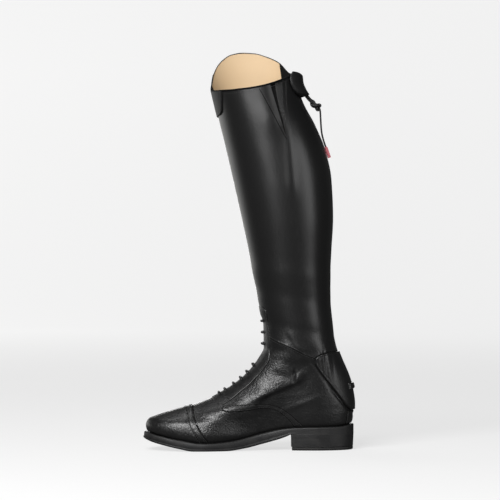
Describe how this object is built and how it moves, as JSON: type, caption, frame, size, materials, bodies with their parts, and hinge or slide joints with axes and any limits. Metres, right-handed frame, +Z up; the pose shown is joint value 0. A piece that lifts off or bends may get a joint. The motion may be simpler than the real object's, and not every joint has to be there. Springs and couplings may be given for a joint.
{
  "type": "tall laced riding boot",
  "caption": "Tall black leather riding boot for the right foot with laced ankle, toe cap, back zip, heel guard and a high curved top edge.",
  "frame": {"origin": "on the floor, under the middle of the boot's box without its pull cord", "axes": "-X towards the toe, +Z up, -Y towards the inner side of the leg"},
  "size_m": [0.2755, 0.1068, 0.519],
  "materials": {
    "black_leather": "smooth full grain, semi gloss",
    "overlay_leather": "smooth full grain, semi gloss",
    "sole_rubber": "matte moulded",
    "heel_rubber": "matte, fine level ribs",
    "lift_rubber": "matte",
    "insole_leather": "natural tan lining leather",
    "tongue_leather": "soft matte",
    "elastic": "fine ribbed elastic",
    "zip_tape": "woven tape with coil teeth",
    "slider_metal": "black",
    "lace_cord": "waxed round cord",
    "tag_cloth": "plain woven"
  },
  "bodies": {
    "root": {"outsole": "sole_rubber", "heel_block": "heel_rubber", "heel_lift": "lift_rubber", "insole": "insole_leather", "upper": "black_leather", "tongue": "tongue_leather", "gusset": "elastic", "toe_cap": "overlay_leather", "vamp_seam_medial": "overlay_leather", "vamp_seam_lateral": "overlay_leather", "eyestay": "overlay_leather", "shaft_facing": "overlay_leather", "heel_guard": "overlay_leather", "spur_rest": "sole_rubber", "back_strip": "overlay_leather", "front_tab": "overlay_leather", "zip": "zip_tape", "zip_slider": "slider_metal", "top_tab": "overlay_leather", "zip_cord_upper": "lace_cord", "cord_knot": "lace_cord", "zip_cord_tail": "lace_cord", "cord_tab": "tag_cloth", "lace_bar_1": "lace_cord", "lace_bar_2": "lace_cord", "lace_bar_3": "lace_cord", "lace_bar_4": "lace_cord", "lace_bar_5": "lace_cord", "lace_bar_6": "lace_cord", "lace_bar_7": "lace_cord", "lace_bar_8": "lace_cord", "lace_bar_9": "lace_cord"}
  },
  "joints": []
}
